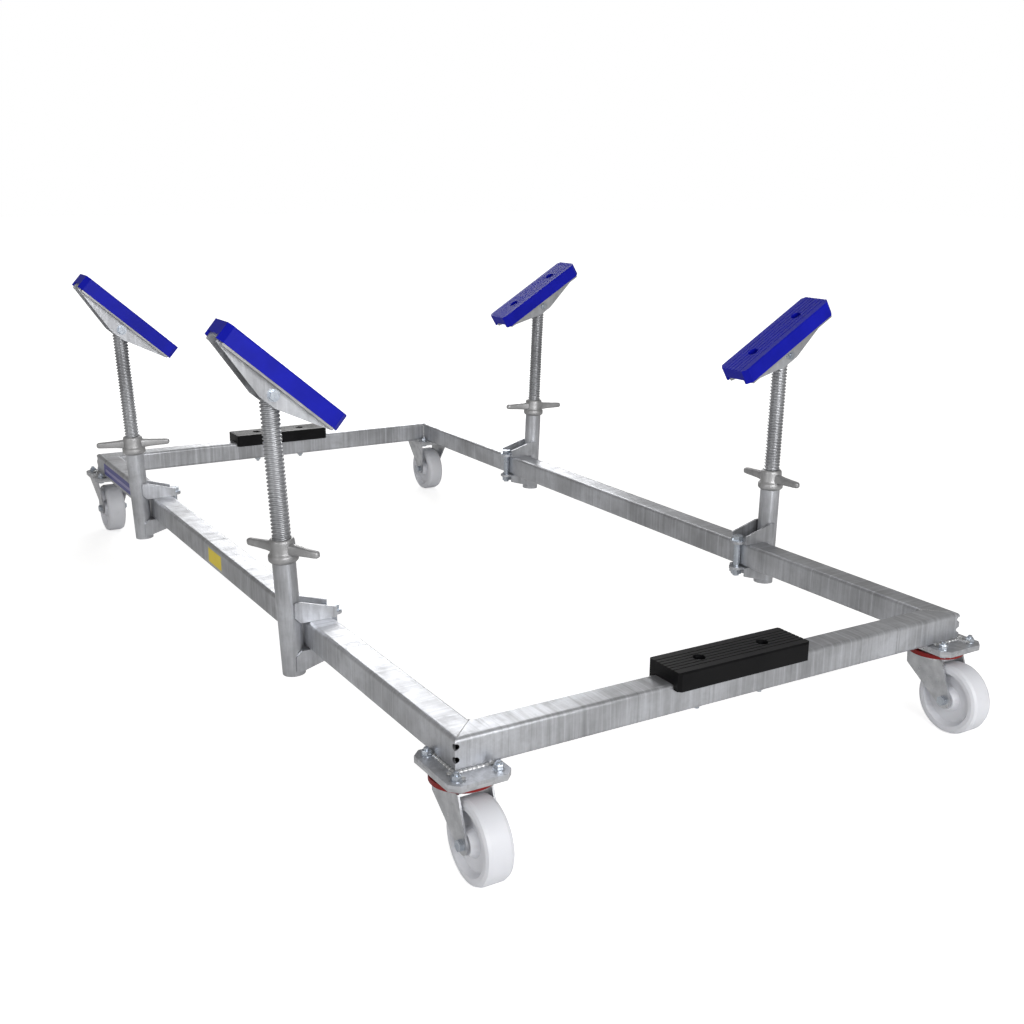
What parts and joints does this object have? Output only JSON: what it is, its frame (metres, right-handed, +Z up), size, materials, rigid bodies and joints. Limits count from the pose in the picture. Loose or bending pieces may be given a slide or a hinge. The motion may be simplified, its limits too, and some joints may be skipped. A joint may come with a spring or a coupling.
{
  "type": "wheeled boat stand",
  "caption": "Wheeled boat stand: square tube frame on castors, with clamped screw posts that carry tilting bunk pads, and keel pads on both end beams.",
  "frame": {"origin": "on the floor at the middle of the bounding box", "axes": "+Z up, +Y along the stand towards the fixed castors, +X across it to the right"},
  "size_m": [1.5518, 2.581, 0.8721],
  "materials": {
    "galvanised": "hot-dip galvanised, matt grey with brighter streaks",
    "zinc_pressing": "bright zinc-plated pressed steel",
    "zinc_bolts": "bright zinc plated",
    "screw_steel": "galvanised rolled thread",
    "bunk_plastic": "moulded, satin blue",
    "keel_plastic": "moulded, matt black",
    "wheel_nylon": "white nylon, semi-matt",
    "seal_plastic": "dark red dust seal"
  },
  "bodies": {
    "frame": {"left_rail": "galvanised", "right_rail": "galvanised", "front_beam": "galvanised", "rear_beam": "galvanised", "mounting_plate_front_left": "galvanised", "mounting_plate_front_right": "galvanised", "mounting_plate_rear_left": "galvanised", "mounting_plate_rear_right": "galvanised", "castor_plate_front_left": "zinc_pressing", "castor_plate_front_right": "zinc_pressing", "swivel_seals": "seal_plastic", "castor_bracket_rear_left": "zinc_pressing", "castor_bracket_rear_right": "zinc_pressing", "axle_rear_left": "zinc_bolts", "axle_rear_right": "zinc_bolts", "front_keel_pad": "keel_plastic", "rear_keel_pad": "keel_plastic", "keel_pad_bolts": "zinc_bolts"},
    "fork_front_left": {"castor_fork_front_left": "zinc_pressing", "axle_front_left": "zinc_bolts"},
    "fork_front_right": {"castor_fork_front_right": "zinc_pressing", "axle_front_right": "zinc_bolts"},
    "wheel_front_left": {"wheel_front_left": "wheel_nylon"},
    "wheel_front_right": {"wheel_front_right": "wheel_nylon"},
    "wheel_rear_left": {"wheel_rear_left": "wheel_nylon"},
    "wheel_rear_right": {"wheel_rear_right": "wheel_nylon"},
    "post_front_left": {"post_sleeve_front_left": "galvanised", "clamp_jaws_front_left": "galvanised", "clamp_bolt_front_left": "zinc_bolts"},
    "nut_front_left": {"wing_nut_front_left": "galvanised"},
    "jack_front_left": {"jack_screw_front_left": "screw_steel"},
    "pad_front_left": {"pad_bracket_front_left": "galvanised", "pivot_bolt_front_left": "zinc_bolts", "bunk_pad_front_left": "bunk_plastic"},
    "post_front_right": {"post_sleeve_front_right": "galvanised", "clamp_jaws_front_right": "galvanised", "clamp_bolt_front_right": "zinc_bolts"},
    "nut_front_right": {"wing_nut_front_right": "galvanised"},
    "jack_front_right": {"jack_screw_front_right": "screw_steel"},
    "pad_front_right": {"pad_bracket_front_right": "galvanised", "pivot_bolt_front_right": "zinc_bolts", "bunk_pad_front_right": "bunk_plastic"},
    "post_rear_left": {"post_sleeve_rear_left": "galvanised", "clamp_jaws_rear_left": "galvanised", "clamp_bolt_rear_left": "zinc_bolts"},
    "nut_rear_left": {"wing_nut_rear_left": "galvanised"},
    "jack_rear_left": {"jack_screw_rear_left": "screw_steel"},
    "pad_rear_left": {"pad_bracket_rear_left": "galvanised", "pivot_bolt_rear_left": "zinc_bolts", "bunk_pad_rear_left": "bunk_plastic"},
    "post_rear_right": {"post_sleeve_rear_right": "galvanised", "clamp_jaws_rear_right": "galvanised", "clamp_bolt_rear_right": "zinc_bolts"},
    "nut_rear_right": {"wing_nut_rear_right": "galvanised"},
    "jack_rear_right": {"jack_screw_rear_right": "screw_steel"},
    "pad_rear_right": {"pad_bracket_rear_right": "galvanised", "pivot_bolt_rear_right": "zinc_bolts", "bunk_pad_rear_right": "bunk_plastic"}
  },
  "joints": [
    {"name": "swivel_front_left", "type": "hinge", "parent": "frame", "child": "fork_front_left", "pos_m": [-0.58, -1.155, 0.17], "axis": [0, 0, 1], "continuous": true},
    {"name": "swivel_front_right", "type": "hinge", "parent": "frame", "child": "fork_front_right", "pos_m": [0.58, -1.155, 0.17], "axis": [0, 0, 1], "continuous": true},
    {"name": "roll_front_left", "type": "hinge", "parent": "fork_front_left", "child": "wheel_front_left", "pos_m": [-0.58, -1.215, 0.075], "axis": [1, 0, 0], "continuous": true},
    {"name": "roll_front_right", "type": "hinge", "parent": "fork_front_right", "child": "wheel_front_right", "pos_m": [0.58, -1.215, 0.075], "axis": [1, 0, 0], "continuous": true},
    {"name": "roll_rear_left", "type": "hinge", "parent": "frame", "child": "wheel_rear_left", "pos_m": [-0.58, 1.215, 0.075], "axis": [1, 0, 0], "continuous": true},
    {"name": "roll_rear_right", "type": "hinge", "parent": "frame", "child": "wheel_rear_right", "pos_m": [0.58, 1.215, 0.075], "axis": [1, 0, 0], "continuous": true},
    {"name": "rail_slide_front_left", "type": "slide", "parent": "frame", "child": "post_front_left", "axis": [0, 1, 0], "range_m": [-0.45, 0.4]},
    {"name": "nut_turn_front_left", "type": "hinge", "parent": "post_front_left", "child": "nut_front_left", "pos_m": [-0.64492, -0.527, 0.37808], "axis": [-0.0532, 0, 0.9986], "range_deg": [-5400, 3600]},
    {"name": "jack_lift_front_left", "type": "slide", "parent": "post_front_left", "child": "jack_front_left", "axis": [-0.0532, 0, 0.9986], "range_m": [-0.0802, 0.1202]},
    {"name": "pad_tilt_front_left", "type": "hinge", "parent": "jack_front_left", "child": "pad_front_left", "pos_m": [-0.66337, -0.527, 0.72428], "axis": [0, 1, 0], "range_deg": [-50.3, 19.7]},
    {"name": "rail_slide_front_right", "type": "slide", "parent": "frame", "child": "post_front_right", "axis": [0, 1, 0], "range_m": [-0.45, 0.4]},
    {"name": "nut_turn_front_right", "type": "hinge", "parent": "post_front_right", "child": "nut_front_right", "pos_m": [0.63907, -0.555, 0.37828], "axis": [0.0162, 0, 0.9999], "range_deg": [-5400, 3600]},
    {"name": "jack_lift_front_right", "type": "slide", "parent": "post_front_right", "child": "jack_front_right", "axis": [0.0162, 0, 0.9999], "range_m": [-0.0802, 0.1202]},
    {"name": "pad_tilt_front_right", "type": "hinge", "parent": "jack_front_right", "child": "pad_front_right", "pos_m": [0.64462, -0.555, 0.71993], "axis": [0, -1, 0], "range_deg": [-41.3, 28.7]},
    {"name": "rail_slide_rear_left", "type": "slide", "parent": "frame", "child": "post_rear_left", "axis": [0, 1, 0], "range_m": [-0.4, 0.45]},
    {"name": "nut_turn_rear_left", "type": "hinge", "parent": "post_rear_left", "child": "nut_rear_left", "pos_m": [-0.64451, 0.615, 0.3781], "axis": [-0.0506, 0, 0.9987], "range_deg": [-5400, 3600]},
    {"name": "jack_lift_rear_left", "type": "slide", "parent": "post_rear_left", "child": "jack_rear_left", "axis": [-0.0506, 0, 0.9987], "range_m": [-0.0802, 0.1202]},
    {"name": "pad_tilt_rear_left", "type": "hinge", "parent": "jack_rear_left", "child": "pad_rear_left", "pos_m": [-0.6621, 0.615, 0.72535], "axis": [0, 1, 0], "range_deg": [-51.5, 18.5]},
    {"name": "rail_slide_rear_right", "type": "slide", "parent": "frame", "child": "post_rear_right", "axis": [0, 1, 0], "range_m": [-0.4, 0.45]},
    {"name": "nut_turn_rear_right", "type": "hinge", "parent": "post_rear_right", "child": "nut_rear_right", "pos_m": [0.64238, 0.577, 0.37819], "axis": [0.0372, 0, 0.9993], "range_deg": [-5400, 3600]},
    {"name": "jack_lift_rear_right", "type": "slide", "parent": "post_rear_right", "child": "jack_rear_right", "axis": [0.0372, 0, 0.9993], "range_m": [-0.0802, 0.1202]},
    {"name": "pad_tilt_rear_right", "type": "hinge", "parent": "jack_rear_right", "child": "pad_rear_right", "pos_m": [0.6556, 0.577, 0.73364], "axis": [0, -1, 0], "range_deg": [-41.5, 28.5]}
  ],
  "couplings": [
    {"joint": "jack_lift_front_left", "follows": "nut_turn_front_left", "m_per_rad": -0.0012732},
    {"joint": "jack_lift_front_right", "follows": "nut_turn_front_right", "m_per_rad": -0.0012732},
    {"joint": "jack_lift_rear_left", "follows": "nut_turn_rear_left", "m_per_rad": -0.0012732},
    {"joint": "jack_lift_rear_right", "follows": "nut_turn_rear_right", "m_per_rad": -0.0012732}
  ]
}
